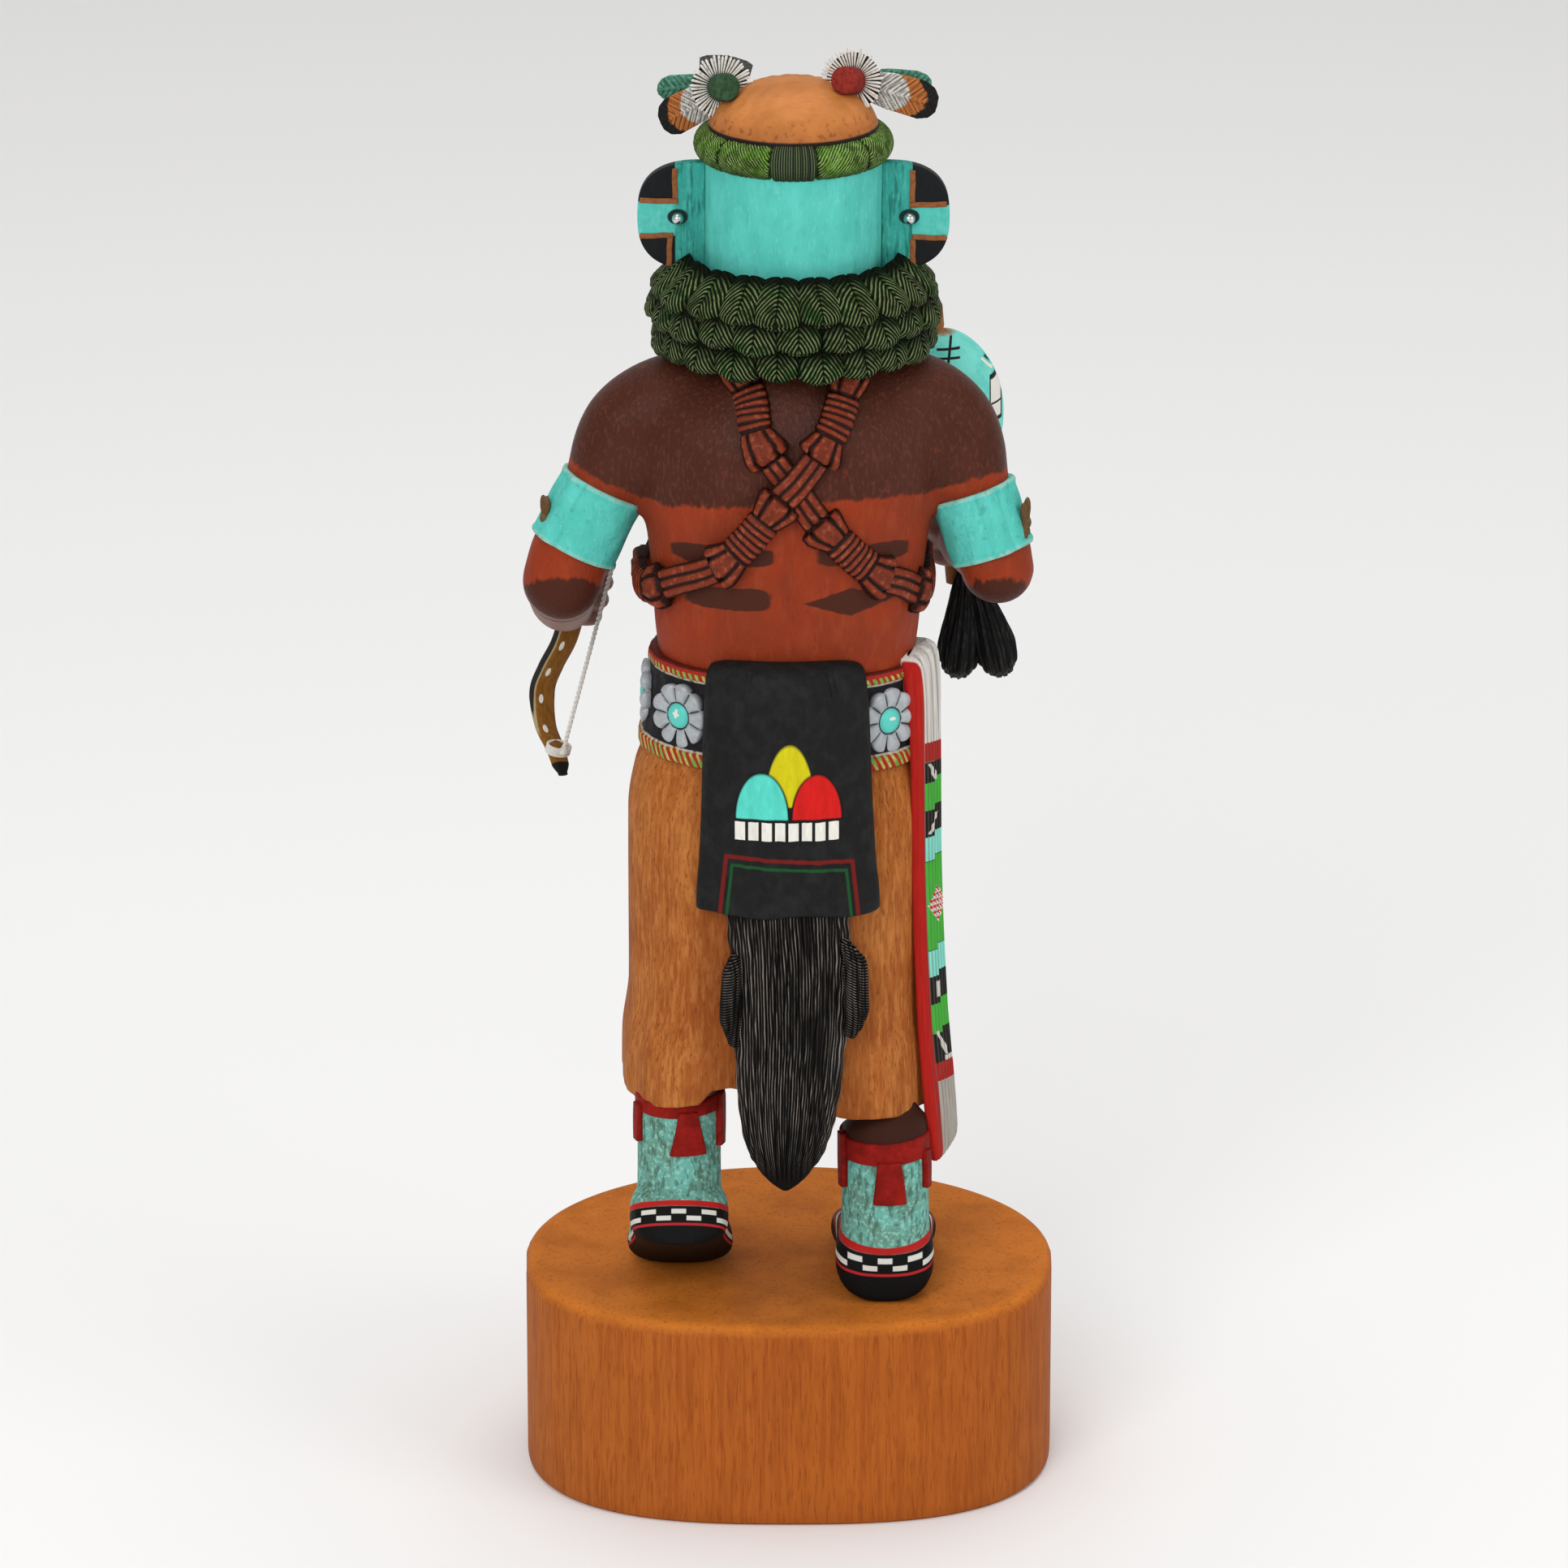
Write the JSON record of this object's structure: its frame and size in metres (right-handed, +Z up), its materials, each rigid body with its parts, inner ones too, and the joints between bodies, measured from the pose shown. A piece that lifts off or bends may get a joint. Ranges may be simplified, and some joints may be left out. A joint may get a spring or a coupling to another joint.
{
  "type": "kachina doll",
  "caption": "Carved and painted wooden doll on an oval wood plinth, with a leaf ruff, case mask, kilt, sash, bow and gourd rattle.",
  "frame": {"origin": "centre of the plinth's underside", "axes": "+Z up along the figure, +Y to the figure's front, +X to its right hand"},
  "size_m": [0.11, 0.093, 0.303],
  "materials": {
    "plinth_wood": "satin",
    "painted_wood": "matt paint",
    "turquoise_paint": "matt paint",
    "pin_steel": "bright",
    "feather_wood": "matt paint",
    "green_peg": "matt paint",
    "red_peg": "matt paint",
    "black_paint": "matt paint",
    "bow_wood": "satin paint",
    "cotton": "twisted string"
  },
  "bodies": {
    "root": {"plinth": "plinth_wood", "figure": "painted_wood", "ear_tab_left": "turquoise_paint", "ear_tab_right": "turquoise_paint", "ear_pin_left": "pin_steel", "ear_pin_right": "pin_steel", "feather_cluster_left": "feather_wood", "feather_cluster_right": "feather_wood", "peg_left": "green_peg", "peg_right": "red_peg", "rattle": "turquoise_paint", "tassel": "black_paint", "bow": "bow_wood", "bow_string": "cotton"}
  },
  "joints": []
}
